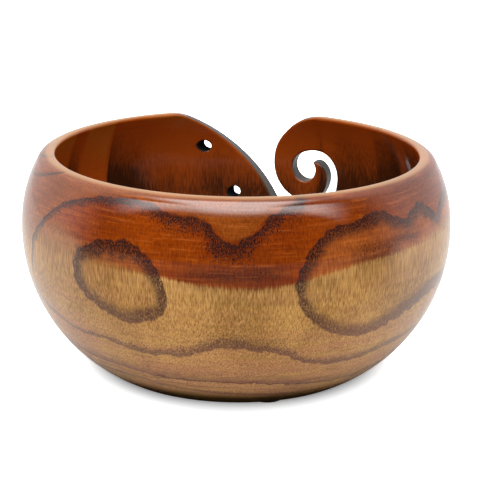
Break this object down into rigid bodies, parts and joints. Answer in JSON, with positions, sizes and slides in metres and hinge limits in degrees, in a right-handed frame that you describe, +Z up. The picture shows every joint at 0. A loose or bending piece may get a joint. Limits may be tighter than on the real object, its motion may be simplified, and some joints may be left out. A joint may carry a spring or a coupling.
{
  "type": "yarn bowl",
  "caption": "Round turned wooden bowl with a spiral yarn guide sawn through its wall and yarn holes beside it, to hold a ball of yarn while knitting.",
  "frame": {"origin": "on the table under the bowl's turning axis, at the bottom face of the anti-slip dots", "axes": "+Z up along the turning axis; +Y towards the spiral yarn guide, and the yarn holes are drilled along Y"},
  "size_m": [0.14, 0.14, 0.076],
  "materials": {
    "lacquered_wood": "stained two-tone wood under a satin lacquer, with dark growth lines",
    "anti_slip_rubber": "matt, slightly grained"
  },
  "bodies": {
    "root": {"bowl_body": "lacquered_wood", "base_pads": "anti_slip_rubber"}
  },
  "joints": []
}
